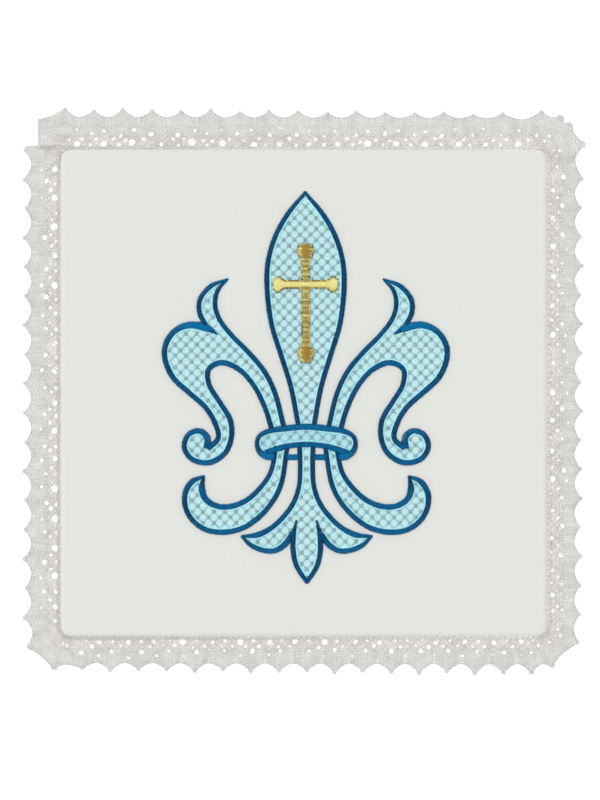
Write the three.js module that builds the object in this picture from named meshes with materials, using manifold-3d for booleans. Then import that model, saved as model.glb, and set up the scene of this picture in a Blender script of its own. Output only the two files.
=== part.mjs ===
// Chalice pall: a stiff square of white linen with a crocheted lace edging sewn round it, embroidered
// with a fleur-de-lis outlined in dark blue satin stitch that holds a gold satin cross.
// Millimetres, +Z up. The pall lies face up on the plane z = 0, with the origin at the middle of its
// underside, and the top of the motif points to +Y.
import * as THREE from "three";
import { mergeVertices } from "three/addons/utils/BufferGeometryUtils.js";
import Module from "manifold-3d";

// Linen panel: cloth stretched over a stiff square, with a soft edge where it is turned over.
const PANEL_SIDE = 150;
const PANEL_THICK = 3;
const PANEL_CORNER = 3;
const PANEL_EDGE_ROUND = 1;
const PANEL_EDGE_STEPS = 3;
const PANEL_CORNER_STEPS = 6;

// Neighbouring pieces stay this far apart, and corners of one surface nearer than this are one.
const PIECE_GAP = 0.3;
const WELD = 1e-4;

// Lace edging: one strip that starts at the top left corner, runs down the left side, along the
// bottom, up the right side and back along the top, where its end lies over its start.
const LACE_THICK = 1.2;
const STRIP_START = 76.4;
const START_INSET = 0.3;
const STRIP_END = 82.2;
const STRIP_END_REACH = 9.4;
const TIP_UNEVEN = { size: 0.35, turnPerTip: 2.4, turnPerSide: 5 };

// A scallop falls from its tip to the valley beside it along a hollow curve.
const SCALLOP_POWER = 2.2;
const SCALLOP_STEPS = [0.07, 0.3, 0.6];

// Holes of one repeat: where they lie out from the foot of the lace, and their size along and out.
const FOOT_HOLE = { out: 1.6, along: 2.4, deep: 1.4 };
const FAN_HOLE = { out: 4.8, along: 1.5, deep: 1.5 };
const HOLE_SIDES = 6;

// Sides in the order that the strip follows them: how many outer tips, where the first and last of
// them stand along the side from its middle, how far those two reach from the panel's edge, with an
// even drift between, and how far the valleys reach.
const SIDES = [
  { name: "left", normal: [-1, 0], tips: 17, first: -75, last: 69.3, reach: [11.5, 11.5], valley: 9.1 },
  { name: "bottom", normal: [0, -1], tips: 17, first: -68.4, last: 70.2, reach: [10.7, 11.6], valley: 8.5 },
  { name: "right", normal: [1, 0], tips: 16, first: -68.4, last: 66.2, reach: [11.0, 11.0], valley: 8.5 },
  { name: "top", normal: [0, 1], tips: 16, first: -61.3, last: 73.9, reach: [11.3, 12.1], valley: 9.4 },
];

// Eased corners, one after each side but the last. Each row turns a spoke of the lace from the normal
// of the side before it, in degrees, and gives its reach from the middle of the panel's corner arc.
const CORNERS = [
  [
    { turn: 9, reach: 11.9, tip: false },
    { turn: 26, reach: 14.7, tip: true },
    { turn: 48, reach: 13.0, tip: false },
    { turn: 68, reach: 14.3, tip: true },
    { turn: 83, reach: 11.9, tip: false },
  ],
  [
    { turn: 8, reach: 11.9, tip: false },
    { turn: 20, reach: 13.4, tip: true },
    { turn: 41, reach: 11.6, tip: false },
    { turn: 68, reach: 13.6, tip: true },
    { turn: 86, reach: 11.3, tip: false },
  ],
  [
    { turn: 0, reach: 12.1, tip: false },
    { turn: 23, reach: 16.0, tip: true },
    { turn: 38, reach: 13.6, tip: false },
    { turn: 46, reach: 16.0, tip: true },
    { turn: 53, reach: 15.0, tip: false },
    { turn: 60, reach: 15.7, tip: true },
    { turn: 68, reach: 14.2, tip: false },
    { turn: 83, reach: 15.4, tip: true },
  ],
];
const STRETCHED_VALLEY = { along: -67.5, reach: 9.4 };

// Embroidery, raised on the linen.
const SATIN_HIGH = 0.7;
const MOTIF_AXIS_X = 0.6;
const SPAN_STEPS = 2;

// Blue satin strokes of one half, mirrored on the other. Columns: out from the motif's axis, up from
// the panel's middle, width of the stitches.
const MIRRORED_STROKES = {
  petalEdge: [
    [-0.5, 63, 0.6], [0, 62.4, 1.4], [5.4, 55.5, 1.8], [9.1, 48.5, 1.7], [11.4, 41, 1.7], [11.9, 33.5, 1.8],
    [10.6, 21.5, 1.7], [7.6, 11.5, 1.7], [4.7, 2, 1.6], [2.9, -10, 1.6],
  ],
  hornInner: [
    [24, 35.1, 0.7], [27.6, 31.5, 1.7], [28.4, 27, 1.8], [26.9, 22.5, 1.6], [23, 17.8, 1.5],
    [17.8, 12.6, 1.6], [12.8, 6.6, 1.6], [9.6, 0, 1.6], [7, -10, 1.6],
  ],
  hornOuter: [
    [24, 35.1, 0.7], [29.5, 33, 1.9], [33, 28.6, 2.1], [33, 24.7, 1.8], [31, 21, 1.6],
  ],
  lobe: [
    [27.3, 18.2, 0.6], [30.8, 20.1, 2.6], [36, 20.9, 2.1], [40.4, 19, 1.7], [43.2, 14.8, 1.7],
    [43.4, 10.5, 1.6], [41, 4.8, 1.6], [36.2, 0.2, 1.6], [31, -4.5, 1.7], [28, -9.5, 1.7],
    [27.1, -14, 1.7], [30.2, -17, 1.9],
  ],
  archAndVolute: [
    [10.8, -11.5, 1.7], [12.9, -4.5, 1.6], [16.2, 2.4, 1.6], [20.6, 7.2, 1.7], [26, 9.3, 1.8],
    [30, 7.2, 1.7], [29.8, 2.5, 1.6], [26.5, -3, 1.6], [23.4, -8.3, 1.7], [23, -13.5, 1.7],
    [25, -18.5, 1.7], [30, -21.5, 1.8], [35.4, -20.3, 1.7], [37.6, -16.6, 1.7], [36.2, -12.8, 1.7],
    [32.8, -11.7, 1.8], [30.4, -13.8, 2.2], [30.7, -17, 2.0],
  ],
  tailInner: [
    [9.6, -18, 1.5], [11, -24.4, 1.5], [14.2, -29.2, 1.6], [18.4, -33, 1.7], [23, -34.9, 1.8],
    [27.4, -34.9, 1.8], [31, -32.8, 2.0], [32.2, -29.5, 2.2], [31.6, -25.7, 0.8],
  ],
  tailOuter: [
    [31.6, -25.7, 0.8], [35.2, -27.3, 1.9], [37.4, -31, 1.9], [37.2, -35.5, 1.7], [34.8, -39.6, 1.7],
    [30.6, -42.3, 1.7], [25, -42.9, 1.8], [19.6, -41.6, 1.7], [14.8, -38.4, 1.7], [10.8, -34, 1.6],
    [7.9, -28.4, 1.6], [6.2, -18, 1.5],
  ],
  leafUpper: [
    [2.1, -16, 1.6], [1.9, -22, 1.5], [2.3, -28.8, 1.5], [4, -33.8, 1.6], [7, -38, 1.6],
    [10.6, -41.4, 1.6], [15, -43.7, 1.9], [20, -44.2, 0.8],
  ],
  leafLower: [
    [20, -44.2, 0.8], [17.2, -46.9, 1.5], [13.4, -48.5, 1.7], [9.8, -48.6, 1.7], [6.6, -46.6, 2.0],
    [4.6, -43.5, 1.6],
  ],
  blade: [
    [3.1, -39.4, 0.7], [4.1, -43.9, 1.8], [4.2, -48.3, 1.7], [3.2, -53.2, 1.6], [0.1, -58.2, 1.5],
    [-0.5, -58.9, 0.6],
  ],
};

// Blue satin strokes that cross the axis, given from the axis outward, in the same columns: the rim
// of the band round the stems, which closes on itself, and the arched line inside it.
const BAND_RIM = [
  [0, -10.4, 2.0], [6, -10.9, 2.0], [11.6, -11.8, 1.9], [14.4, -13.3, 1.6], [15.1, -15.6, 1.6],
  [14, -18.2, 1.8], [11.8, -19.2, 2.4], [8, -19.4, 2.0], [0, -19.3, 1.8],
];
const BAND_ARCH = [
  [0, -15.6, 1.9], [6.2, -16.2, 2.3], [9.8, -17.3, 3.2], [14.2, -17.5, 1.8],
];

// Gold cross: a straight cross with flared ends. Heights are from the panel's middle.
const CROSS_TOP = 45.8;
const CROSS_FOOT = 9.4;
const CROSS_BAR_Y = 33.4;
const CROSS_BAR_LONG = 19.4;
const CROSS_ARM_WIDE = 2.4;
const CROSS_FLARE_WIDE = 4.8;
const CROSS_BAR_FLARE = 3.4;
const CROSS_SHAFT_FLARE = 5.2;
// How a flared end widens: shares of its length in from the end, and of its extra width.
const FLARE_SHAPE = [
  { inward: 1, wide: 0 },
  { inward: 0.5, wide: 0.75 },
  { inward: 0.25, wide: 1 },
  { inward: 0, wide: 0.5 },
];

const wasm = await Module();
wasm.setup();

const half = PANEL_SIDE / 2;
const point = (x, y) => new THREE.Vector2(x, y);
const mix = (a, b, share) => a + (b - a) * share;
const radians = (degrees) => (degrees * Math.PI) / 180;

// A closed surface whose faces share their corners, with only positions left.
function welded(geometry) {
  geometry.deleteAttribute("normal");
  geometry.deleteAttribute("uv");
  return mergeVertices(geometry, WELD);
}

// An outline with its holes, raised from z = bottom to z = bottom + high.
function slab(outline, holes, bottom, high) {
  const shape = new THREE.Shape(THREE.ShapeUtils.isClockWise(outline) ? outline.reverse() : outline);
  shape.holes = holes.map((hole) => new THREE.Path(hole));
  const raised = new THREE.ExtrudeGeometry(shape, { depth: high, bevelEnabled: false });
  return welded(raised.translate(0, 0, bottom));
}

// A square with round corners, its arcs in the given number of steps.
function roundedSquare(side, corner, steps) {
  const reach = side / 2 - corner;
  const points = [];
  for (let quarter = 0; quarter < 4; quarter++) {
    const middle = point(reach, reach).rotateAround(point(0, 0), (quarter * Math.PI) / 2);
    for (let i = 0; i <= steps; i++) {
      const angle = ((quarter + i / steps) * Math.PI) / 2;
      points.push(point(middle.x + corner * Math.cos(angle), middle.y + corner * Math.sin(angle)));
    }
  }
  return points;
}

// The stiff panel: a rounded square plate whose edges are turned over softly, above and below.
function linenPanel() {
  const shape = new THREE.Shape(roundedSquare(PANEL_SIDE, PANEL_CORNER, PANEL_CORNER_STEPS));
  const plate = new THREE.ExtrudeGeometry(shape, {
    depth: PANEL_THICK - 2 * PANEL_EDGE_ROUND,
    bevelThickness: PANEL_EDGE_ROUND,
    bevelSize: PANEL_EDGE_ROUND,
    bevelOffset: -PANEL_EDGE_ROUND,
    bevelSegments: PANEL_EDGE_STEPS,
  });
  return welded(plate.translate(0, 0, PANEL_EDGE_ROUND));
}

// A spoke of the lace: where it leaves the foot, which way it points, and how far it reaches.
function sideSpoke(side, along, reach, tip) {
  const [nx, ny] = side.normal;
  const edge = half + PIECE_GAP;
  return {
    foot: point(nx * edge - ny * along, ny * edge + nx * along),
    way: point(nx, ny),
    reach: reach - PIECE_GAP,
    tip,
  };
}

function cornerSpoke(side, row) {
  const [nx, ny] = side.normal;
  const inset = half - PANEL_CORNER;
  const way = point(nx, ny).rotateAround(point(0, 0), radians(row.turn));
  const middle = point((nx - ny) * inset, (ny + nx) * inset);
  return {
    foot: middle.clone().addScaledVector(way, PANEL_CORNER + PIECE_GAP),
    way,
    reach: row.reach - PANEL_CORNER - PIECE_GAP,
    tip: row.tip,
  };
}

// Every tip and valley of the strip, in order, from its start to its last tip.
function laceSpokes() {
  const spokes = [];
  SIDES.forEach((side, index) => {
    const pitch = (side.last - side.first) / (side.tips - 1);
    for (let i = 0; i < side.tips; i++) {
      const along = side.first + i * pitch;
      const drift = mix(side.reach[0], side.reach[1], i / (side.tips - 1));
      const turn = TIP_UNEVEN.turnPerTip * i + TIP_UNEVEN.turnPerSide * index;
      const uneven = TIP_UNEVEN.size * Math.sin(turn);
      spokes.push(sideSpoke(side, along, drift + uneven, true));
      if (i < side.tips - 1) spokes.push(sideSpoke(side, along + pitch / 2, side.valley, false));
    }
    if (index < CORNERS.length) CORNERS[index].forEach((row) => spokes.push(cornerSpoke(side, row)));
  });
  const top = SIDES[SIDES.length - 1];
  const firstOfTop = spokes.length - 2 * top.tips + 1;
  spokes.splice(firstOfTop, 0, sideSpoke(top, STRETCHED_VALLEY.along, STRETCHED_VALLEY.reach, false));
  return spokes;
}

// A point on the rim between a spoke and the next one, a share of the way over.
function rimPoint(from, to, share) {
  const fromTip = from.tip ? share : 1 - share;
  const [tip, valley] = from.tip ? [from, to] : [to, from];
  const reach = valley.reach + (tip.reach - valley.reach) * (1 - fromTip) ** SCALLOP_POWER;
  const foot = from.foot.clone().lerp(to.foot, share);
  const way = from.way.clone().lerp(to.way, share).normalize();
  return foot.addScaledVector(way, reach);
}

// The outer rim of the strip, closed at the corner where its end lies over its start.
function laceRim(spokes) {
  const first = spokes[0];
  const startX = first.foot.x - first.reach + START_INSET;
  const endY = half + STRIP_END_REACH;
  const rim = [point(-STRIP_END, STRIP_START), point(startX, STRIP_START)];
  for (let i = 0; i < spokes.length - 1; i++) {
    const shares = spokes[i].tip ? SCALLOP_STEPS : SCALLOP_STEPS.map((step) => 1 - step).reverse();
    if (!spokes[i].tip) rim.push(rimPoint(spokes[i], spokes[i + 1], 0));
    shares.forEach((share) => rim.push(rimPoint(spokes[i], spokes[i + 1], share)));
  }
  const last = spokes[spokes.length - 1];
  const end = { foot: point(-STRIP_END, last.foot.y), way: last.way, reach: endY - last.foot.y, tip: false };
  SCALLOP_STEPS.forEach((share) => rim.push(rimPoint(last, end, share)));
  rim.push(point(-STRIP_END, endY));
  return rim;
}

// One hole of a repeat, centred on a spoke.
function laceHole(spoke, size) {
  const hole = [];
  const middle = spoke.foot.clone().addScaledVector(spoke.way, size.out);
  const across = point(-spoke.way.y, spoke.way.x);
  for (let i = 0; i < HOLE_SIDES; i++) {
    const angle = (2 * Math.PI * i) / HOLE_SIDES;
    const corner = middle.clone().addScaledVector(across, (size.along / 2) * Math.cos(angle));
    hole.push(corner.addScaledVector(spoke.way, (size.deep / 2) * Math.sin(angle)));
  }
  return hole;
}

// Straight spokes carry the holes; the corners are worked densely and have none.
function laceEdging() {
  const spokes = laceSpokes();
  const straight = spokes.filter(({ way }) => Math.max(Math.abs(way.x), Math.abs(way.y)) === 1);
  const inner = roundedSquare(PANEL_SIDE + 2 * PIECE_GAP, PANEL_CORNER + PIECE_GAP, PANEL_CORNER_STEPS);
  const holes = straight.slice(1, -1).map((spoke) => laceHole(spoke, spoke.tip ? FAN_HOLE : FOOT_HOLE));
  return slab(laceRim(spokes), [inner, ...holes], 0, LACE_THICK);
}

// A smooth line through a stroke's rows, with the stitch width beside each of its points.
function strokeLine(rows, closed) {
  const places = rows.map(([out, up]) => new THREE.Vector3(MOTIF_AXIS_X + out, up, 0));
  const curve = new THREE.CatmullRomCurve3(places, closed, "centripetal");
  const spans = closed ? rows.length : rows.length - 1;
  const steps = spans * SPAN_STEPS;
  const line = [];
  for (let i = 0; i < steps + (closed ? 0 : 1); i++) {
    const span = Math.min(Math.floor(i / SPAN_STEPS), spans - 1);
    const next = (span + 1) % rows.length;
    const width = mix(rows[span][2], rows[next][2], i / SPAN_STEPS - span);
    line.push({ at: curve.getPoint(i / steps), way: curve.getTangent(i / steps), width });
  }
  return line;
}

// A stroke as a raised ribbon, its two edges half a stitch to either side of the line.
function strokeRibbon(rows, closed = false) {
  const line = strokeLine(rows, closed);
  const edge = (side) =>
    line.map(({ at, way, width }) => {
      const out = (side * width) / 2;
      return point(at.x - way.y * out, at.y + way.x * out);
    });
  const bottom = PANEL_THICK + PIECE_GAP;
  if (closed) return slab(edge(1), [edge(-1)], bottom, SATIN_HIGH);
  return slab([...edge(-1), ...edge(1).reverse()], [], bottom, SATIN_HIGH);
}

// The rows of the other half of a stroke, in the opposite order.
function mirrored(rows) {
  return rows.map(([out, up, width]) => [-out, up, width]).reverse();
}

function solidOf(geometry) {
  return new wasm.Manifold(
    new wasm.Mesh({
      numProp: 3,
      vertProperties: new Float32Array(geometry.getAttribute("position").array),
      triVerts: new Uint32Array(geometry.index.array),
    }),
  );
}

function geometryOf(solid) {
  const mesh = solid.getMesh();
  const geometry = new THREE.BufferGeometry();
  geometry.setAttribute("position", new THREE.BufferAttribute(mesh.vertProperties, mesh.numProp));
  geometry.setIndex(new THREE.BufferAttribute(mesh.triVerts, 1));
  return geometry;
}

// All the blue strokes of both halves, joined into one raised outline.
function blueOutline() {
  const ribbons = Object.values(MIRRORED_STROKES).flatMap((rows) => [
    strokeRibbon(rows),
    strokeRibbon(mirrored(rows)),
  ]);
  ribbons.push(strokeRibbon([...mirrored(BAND_RIM).slice(1, -1), ...BAND_RIM], true));
  ribbons.push(strokeRibbon([...mirrored(BAND_ARCH).slice(0, -1), ...BAND_ARCH]));
  return geometryOf(ribbons.map(solidOf).reduce((joined, next) => joined.add(next)));
}

// One side of an arm's outline, from the inner corner to its flared end.
function armEdge(end, flareLong) {
  const arm = CROSS_ARM_WIDE / 2;
  const flare = CROSS_FLARE_WIDE / 2;
  const ends = FLARE_SHAPE.map(({ inward, wide }) => [end - inward * flareLong, mix(arm, flare, wide)]);
  return [[arm, arm], ...ends];
}

function goldCross() {
  const arms = [
    { turn: 0, end: CROSS_BAR_LONG / 2, flare: CROSS_BAR_FLARE },
    { turn: 90, end: CROSS_TOP - CROSS_BAR_Y, flare: CROSS_SHAFT_FLARE },
    { turn: 180, end: CROSS_BAR_LONG / 2, flare: CROSS_BAR_FLARE },
    { turn: 270, end: CROSS_BAR_Y - CROSS_FOOT, flare: CROSS_SHAFT_FLARE },
  ];
  const outline = arms.flatMap(({ turn, end, flare }) => {
    const edge = armEdge(end, flare);
    const below = edge.slice(1).map(([along, across]) => point(along, -across));
    const above = edge.map(([along, across]) => point(along, across)).reverse();
    return [...below, ...above].map((p) => p.rotateAround(point(0, 0), radians(turn)));
  });
  const cross = slab(outline, [], PANEL_THICK + PIECE_GAP, SATIN_HIGH);
  return cross.translate(MOTIF_AXIS_X, CROSS_BAR_Y, 0);
}

function piece(name, geometry, color, roughness, metalness) {
  geometry.computeVertexNormals();
  const mesh = new THREE.Mesh(geometry, new THREE.MeshStandardMaterial({ color, roughness, metalness }));
  mesh.name = name;
  return mesh;
}

const lace = piece("lace_edging", laceEdging(), 0xd7d2d0, 0.85, 0);

const pall = new THREE.Group();
pall.add(piece("linen_panel", linenPanel(), 0xe3e6e1, 0.9, 0));
pall.add(lace);
pall.add(piece("blue_satin_outline", blueOutline(), 0x0a4b73, 0.45, 0));
pall.add(piece("gold_satin_cross", goldCross(), 0xe0bd55, 0.4, 0.3));

// The lace is a little wider on some sides, so the pall is moved to put its middle at the origin.
const middle = new THREE.Box3().setFromObject(lace).getCenter(new THREE.Vector3());
pall.position.set(-middle.x, -middle.y, 0);

export default pall;
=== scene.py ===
"""Chalice pall: a stiff square of white linen with a lace edging, embroidered with a fleur-de-lis.

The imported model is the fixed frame. Each operator makes one group of pieces from sizes in millimetres,
measured from the middle of the linen square, and puts them in the frame in metres. Every new piece is a
surface worked out with whole arrays: a profile carried along threads, or a grid of two parameters.
"""

import math

import bpy
import numpy as np
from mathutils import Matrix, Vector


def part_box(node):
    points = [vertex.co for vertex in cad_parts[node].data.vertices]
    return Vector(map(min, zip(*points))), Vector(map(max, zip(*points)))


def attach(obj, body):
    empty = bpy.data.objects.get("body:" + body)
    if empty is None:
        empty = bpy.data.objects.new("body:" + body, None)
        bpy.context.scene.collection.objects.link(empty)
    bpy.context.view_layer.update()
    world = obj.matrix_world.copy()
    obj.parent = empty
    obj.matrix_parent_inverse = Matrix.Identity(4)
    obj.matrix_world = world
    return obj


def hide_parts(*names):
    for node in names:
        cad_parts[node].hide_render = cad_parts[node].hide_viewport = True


bl_info = {
    "name": "Chalice Pall",
    "version": (1, 0, 0),
    "blender": (4, 5, 0),
    "location": "3D View > Sidebar > Pall",
    "description": "Makes an embroidered linen chalice pall with a lace edging in its packed frame",
    "category": "Add Mesh",
}

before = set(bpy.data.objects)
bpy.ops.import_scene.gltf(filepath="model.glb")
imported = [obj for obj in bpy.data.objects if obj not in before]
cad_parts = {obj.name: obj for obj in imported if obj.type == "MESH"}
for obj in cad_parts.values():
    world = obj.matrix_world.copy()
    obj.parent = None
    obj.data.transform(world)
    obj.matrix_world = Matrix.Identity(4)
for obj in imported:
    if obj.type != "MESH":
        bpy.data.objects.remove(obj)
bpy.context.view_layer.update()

MM = 0.001
BODY = "root"

PANEL_LOW, PANEL_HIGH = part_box("linen_panel")
PANEL_MIDDLE = (np.array(PANEL_LOW) + np.array(PANEL_HIGH)) / 2
PANEL_SIDE = (PANEL_HIGH.x - PANEL_LOW.x) / MM
PANEL_THICK = PANEL_HIGH.z / MM
PANEL_CORNER = 3.0
PANEL_EDGE_ROUND = 1.48
PIECE_GAP = 0.3

# Threads are tubes with this many sides, spun from this many plies.
THREAD_SIDES = 4
THREAD_PLIES = 2

# Lace strip: where it starts and ends, and how its scallops fall from tip to valley.
STRIP_START = 76.4
START_INSET = 0.3
STRIP_END = 82.2
STRIP_END_REACH = 9.4
TIP_UNEVEN = {"size": 0.35, "per_tip": 2.4, "per_side": 5.0}
SCALLOP_POWER = 1.7
STRETCHED_VALLEY = (-67.5, 9.4)

# How the strip lies: its height at the foot, how much lower it is once flat, and how far out that is.
LIE = {"foot": 0.95, "sunk": 0.4, "flat_from": 7.0}
# Its wave: the height, how far out it is whole, and the lengths of the two waves that it is made of.
WAVE = {"high": 0.12, "whole_from": 6.0, "short": 7.3, "long": 23.0}
# The lap over the strip's own start: how long it is, over what length the strip rises to it, how far.
LAP = {"long": 9.0, "rise": 4.0, "high": 0.55}

# Sides in the strip's order. Columns: outward normal, how many tips, where the first and last stand,
# how far those two reach, and how far the first and the last valley reach.
SIDES = [
    ((-1, 0), 17, (-75.0, 69.3), (11.3, 11.3), (9.1, 9.1)),
    ((0, -1), 17, (-68.4, 70.2), (10.5, 11.8), (8.3, 8.7)),
    ((1, 0), 16, (-68.4, 66.2), (10.4, 10.8), (8.4, 8.6)),
    ((0, 1), 16, (-61.3, 73.9), (11.1, 12.6), (9.75, 10.15)),
]
# Eased corners. Columns: turn in degrees from the side before, reach from the corner arc's middle.
# Valleys and tips take turns, and each corner starts with a valley. The last corner has the lap.
CORNERS = [
    [(9, 11.9), (26, 14.7), (48, 13.0), (68, 14.3), (83, 11.9)],
    [(8, 11.9), (20, 13.4), (41, 11.6), (68, 13.6), (86, 11.3)],
    [(0, 11.7), (19, 15.4), (34, 14.1), (46, 15.2), (54, 14.3), (61, 15.4), (72, 13.8), (85, 15.0)],
    [],
]

# Eyelets of one repeat. Columns: place along the repeat from a tip (share), out from the foot, radius,
# how much wider than deep, how far it may stray, and how often it is there at all.
EYELETS = [
    (0.12, 1.25, 0.70, 1.0, 0.25, 1.0),
    (0.62, 1.65, 0.73, 1.7, 0.35, 1.0),
    (0.33, 2.95, 0.73, 1.0, 0.3, 1.0),
    (-0.12, 2.9, 0.65, 1.0, 0.35, 0.6),
    (0.06, 4.55, 0.82, 1.1, 0.35, 0.95),
    (0.6, 5.9, 0.66, 1.0, 0.45, 0.85),
]
# How the eyelets' size and place differ from side to side, per unit of the outward direction. Only the
# rows nearest the foot shift.
EYELET_LEAN = {"size": (-0.06, 0.05), "out": (-0.12, 0.0), "out_in": 0.12}
EYELET_FOOT_ROWS = 2.0
# No eyelet lies this near the strip's ends, and in the eased corners only this share of the middle rows.
EYELET_FREE_START = 5.0
EYELET_FREE_END = 9.5
EYELETS_IN_CORNERS = 0.55
EYELET_MIDDLE_ROWS = (2.5, 5.0)
# An eyelet's radius varies between these shares, it strays outwards by this share of its stray along,
# and one that is missing has this radius.
EYELET_SIZES = (0.75, 1.2)
EYELET_STRAY_OUT = 0.6
EYELET_MISSING = 0.02

# Embroidery. The motif's axis stands this far right of the panel's middle, and leans left by this share
# of the height.
MOTIF_AXIS_X = 0.66
MOTIF_LEAN = 0.0045
# A smooth line has this many steps from one of its rows to the next.
SPAN_STEPS = 24
# Blue satin strokes of one half. First the side of the stroke, seen along it, that the net filling lies
# on: 1 left, -1 right. Rows: out from the motif's axis, up from the panel's middle, width.
STROKES = {
    "petal_edge": (-1, [
        (-0.3, 61.9, 0.5), (0.2, 61.3, 1.1), (5.3, 55.2, 1.6), (9.1, 48.5, 1.6), (11.4, 41, 1.6),
        (11.9, 33.5, 1.7), (10.6, 21.5, 1.6), (7.6, 11.5, 1.6), (4.7, 2, 1.6), (2.4, -10, 1.6)]),
    "horn_inner": (1, [
        (24.0, 35.0, 0.6), (27.1, 31.5, 1.4), (27.9, 27, 1.5), (26.5, 22.5, 1.5), (22.9, 17.8, 1.5),
        (17.8, 12.6, 1.6), (12.8, 6.6, 1.6), (9.6, 0, 1.6), (7, -10, 1.6)]),
    "horn_outer": (-1, [
        (24.0, 35.0, 0.6), (29.1, 32.9, 1.5), (32.5, 28.8, 1.6), (32.7, 24.7, 1.6), (30.9, 21, 1.6)]),
    "lobe": (-1, [
        (27.3, 18.2, 0.6), (30.8, 20.1, 2.7), (36, 20.9, 2.3), (40.4, 19, 1.9), (43.2, 14.8, 1.9),
        (43.4, 10.5, 1.8), (41, 4.8, 1.8), (36.2, 0.2, 1.7), (31, -4.5, 1.7), (28, -9.5, 1.7),
        (27.1, -14, 1.7), (30.2, -17, 1.9)]),
    "arch_and_volute": (1, [
        (10.5, -11.5, 1.7), (12.7, -4.5, 1.6), (16.2, 2.4, 1.6), (20.6, 7.2, 1.7), (26, 9.3, 1.8),
        (30, 7.2, 1.7), (29.8, 2.5, 1.6), (26.5, -3, 1.6), (23.4, -8.3, 1.7), (23, -13.5, 1.7),
        (25, -18.5, 1.7), (30, -21.5, 1.8), (35.4, -20.3, 1.7), (37.6, -16.6, 1.7), (36.2, -12.8, 1.7),
        (32.8, -11.7, 1.8), (30.4, -13.8, 2.2), (30.7, -17, 2.0)]),
    "tail_inner": (-1, [
        (9.3, -16.6, 1.5), (11, -24.4, 1.5), (14.2, -29.2, 1.6), (18.4, -33, 1.7), (23, -34.9, 1.8),
        (27.4, -34.9, 1.8), (31, -32.8, 2.0), (32.2, -29.5, 2.2), (31.6, -25.7, 0.8)]),
    "tail_outer": (-1, [
        (31.6, -25.7, 0.8), (35.2, -27.3, 1.9), (37.4, -31, 1.9), (37.2, -35.5, 1.7), (34.8, -39.6, 1.7),
        (30.6, -42.3, 1.7), (25, -42.9, 1.8), (19.6, -41.6, 1.7), (14.8, -38.4, 1.7), (10.8, -34, 1.6),
        (7.9, -28.4, 1.6), (5.8, -16.2, 1.5)]),
    "leaf_upper": (-1, [
        (2.1, -16, 1.6), (1.9, -22, 1.5), (2.3, -28.8, 1.5), (4, -33.8, 1.6), (7, -38, 1.6),
        (10.6, -41.4, 1.6), (15, -43.7, 1.9), (20, -44.2, 0.8)]),
    "leaf_lower": (-1, [
        (20, -44.2, 0.8), (17.2, -46.9, 1.5), (13.4, -48.5, 1.7), (9.8, -48.6, 1.7), (6.6, -46.6, 2.0),
        (4.6, -43.5, 1.6)]),
    "blade": (-1, [
        (3.1, -39.4, 0.7), (4.1, -43.9, 1.8), (4.2, -48.3, 1.7), (3.2, -53.2, 1.6), (0.2, -57.9, 1.4),
        (-0.4, -58.5, 0.6)]),
}
# Strokes that cross the axis, from the axis outward: the band's rim and its arched line. The rim's foot
# is a short stroke on each side, between the strands that hang from the arch.
BAND_RIM = [
    (0, -10.4, 2.0), (6, -10.9, 2.0), (11.6, -11.8, 1.7), (14.4, -13.3, 1.4), (15.2, -15.6, 1.4),
    (14.3, -18.2, 1.9), (12.2, -19.4, 2.9), (10.2, -19.7, 2.3),
]
BAND_ARCH = [(0, -15.9, 1.7), (6.2, -16.5, 1.7), (9.6, -17.5, 2.0), (12.6, -18.4, 1.8)]
BAND_FOOT = [(2.7, -19.8, 2.0), (5.7, -19.85, 2.0)]
BAND_FILL_LOW = -17.4
# How far over the linen's face a stroke is sewn: the step from one to the next, and the band's three.
LAYERS = {"step": 0.025, "foot": -0.1, "rim": 0.14, "arch": 0.2}
# A stroke's thread reaches this share of its width, and is this share of the stitch pitch half wide.
SATIN_REACH = 0.89
SATIN_COVER = 0.62
# A stitch is padded to its whole height from this width on, and its ends go this far into the linen.
SATIN_FULL_WIDTH = 1.5
SATIN_SUNK = 0.15

# Gold cross, heights from the panel's middle, and how a flared end widens: shares of the flare's
# length in from the end, and of its extra width.
CROSS = {"top": 45.8, "foot": 9.4, "bar_y": 33.4, "bar_long": 19.4, "arm_wide": 2.25, "flare_wide": 5.3,
         "stitch": 0.26, "dot_pitch": 0.8}
BAR_FLARE = {"long": 3.4, "inward": (0.0, 0.1, 0.3, 0.5, 0.75, 1.0), "wide": (0.3, 0.8, 1.0, 0.85, 0.3, 0.0)}
TOP_FLARE = {"long": 6.2, "inward": (0.0, 0.1, 0.3, 0.5, 0.75, 1.0), "wide": (0.35, 0.8, 1.0, 0.85, 0.3, 0.0)}
FOOT_FLARE = {"long": 6.2, "inward": (0.0, 0.15, 0.4, 0.6, 0.8, 1.0), "wide": (0.15, 0.6, 1.0, 0.8, 0.3, 0.0)}

# The corners of a wall's quad, as steps to the next ring and steps round the ring.
RING_STEP = np.array([0, 1, 1, 0])
SIDE_STEP = np.array([0, 0, 1, 1])


def in_frame(points):
    """Points in millimetres from the panel's middle, in metres in the row frame."""
    placed = np.asarray(points, float) * MM
    placed[:, :2] += PANEL_MIDDLE[:2]
    return placed


def unit(ways):
    """The same directions with length one."""
    return ways / np.maximum(np.linalg.norm(ways, axis=-1, keepdims=True), 1e-9)


def left_of(ways):
    """Flat directions turned a quarter to the left."""
    return np.stack([-ways[..., 1], ways[..., 0]], axis=-1)


def raised(flat, height):
    """Flat points with their height, one for all or one for each, as the third number."""
    return np.concatenate([flat, np.broadcast_to(height, flat.shape[:-1])[..., None]], axis=-1)


def scaled(colour, *share):
    """A colour times one share, or with each of its parts times its own."""
    return tuple(np.array(colour) * share)


def ring_walls(rings, sides):
    """Quads from each of these rings of corners to the next ring, closed all the way round."""
    along = (rings[:, None, None] + RING_STEP) * sides
    return (along + (np.arange(sides)[:, None] + SIDE_STEP) % sides).reshape(-1, 4)


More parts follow.
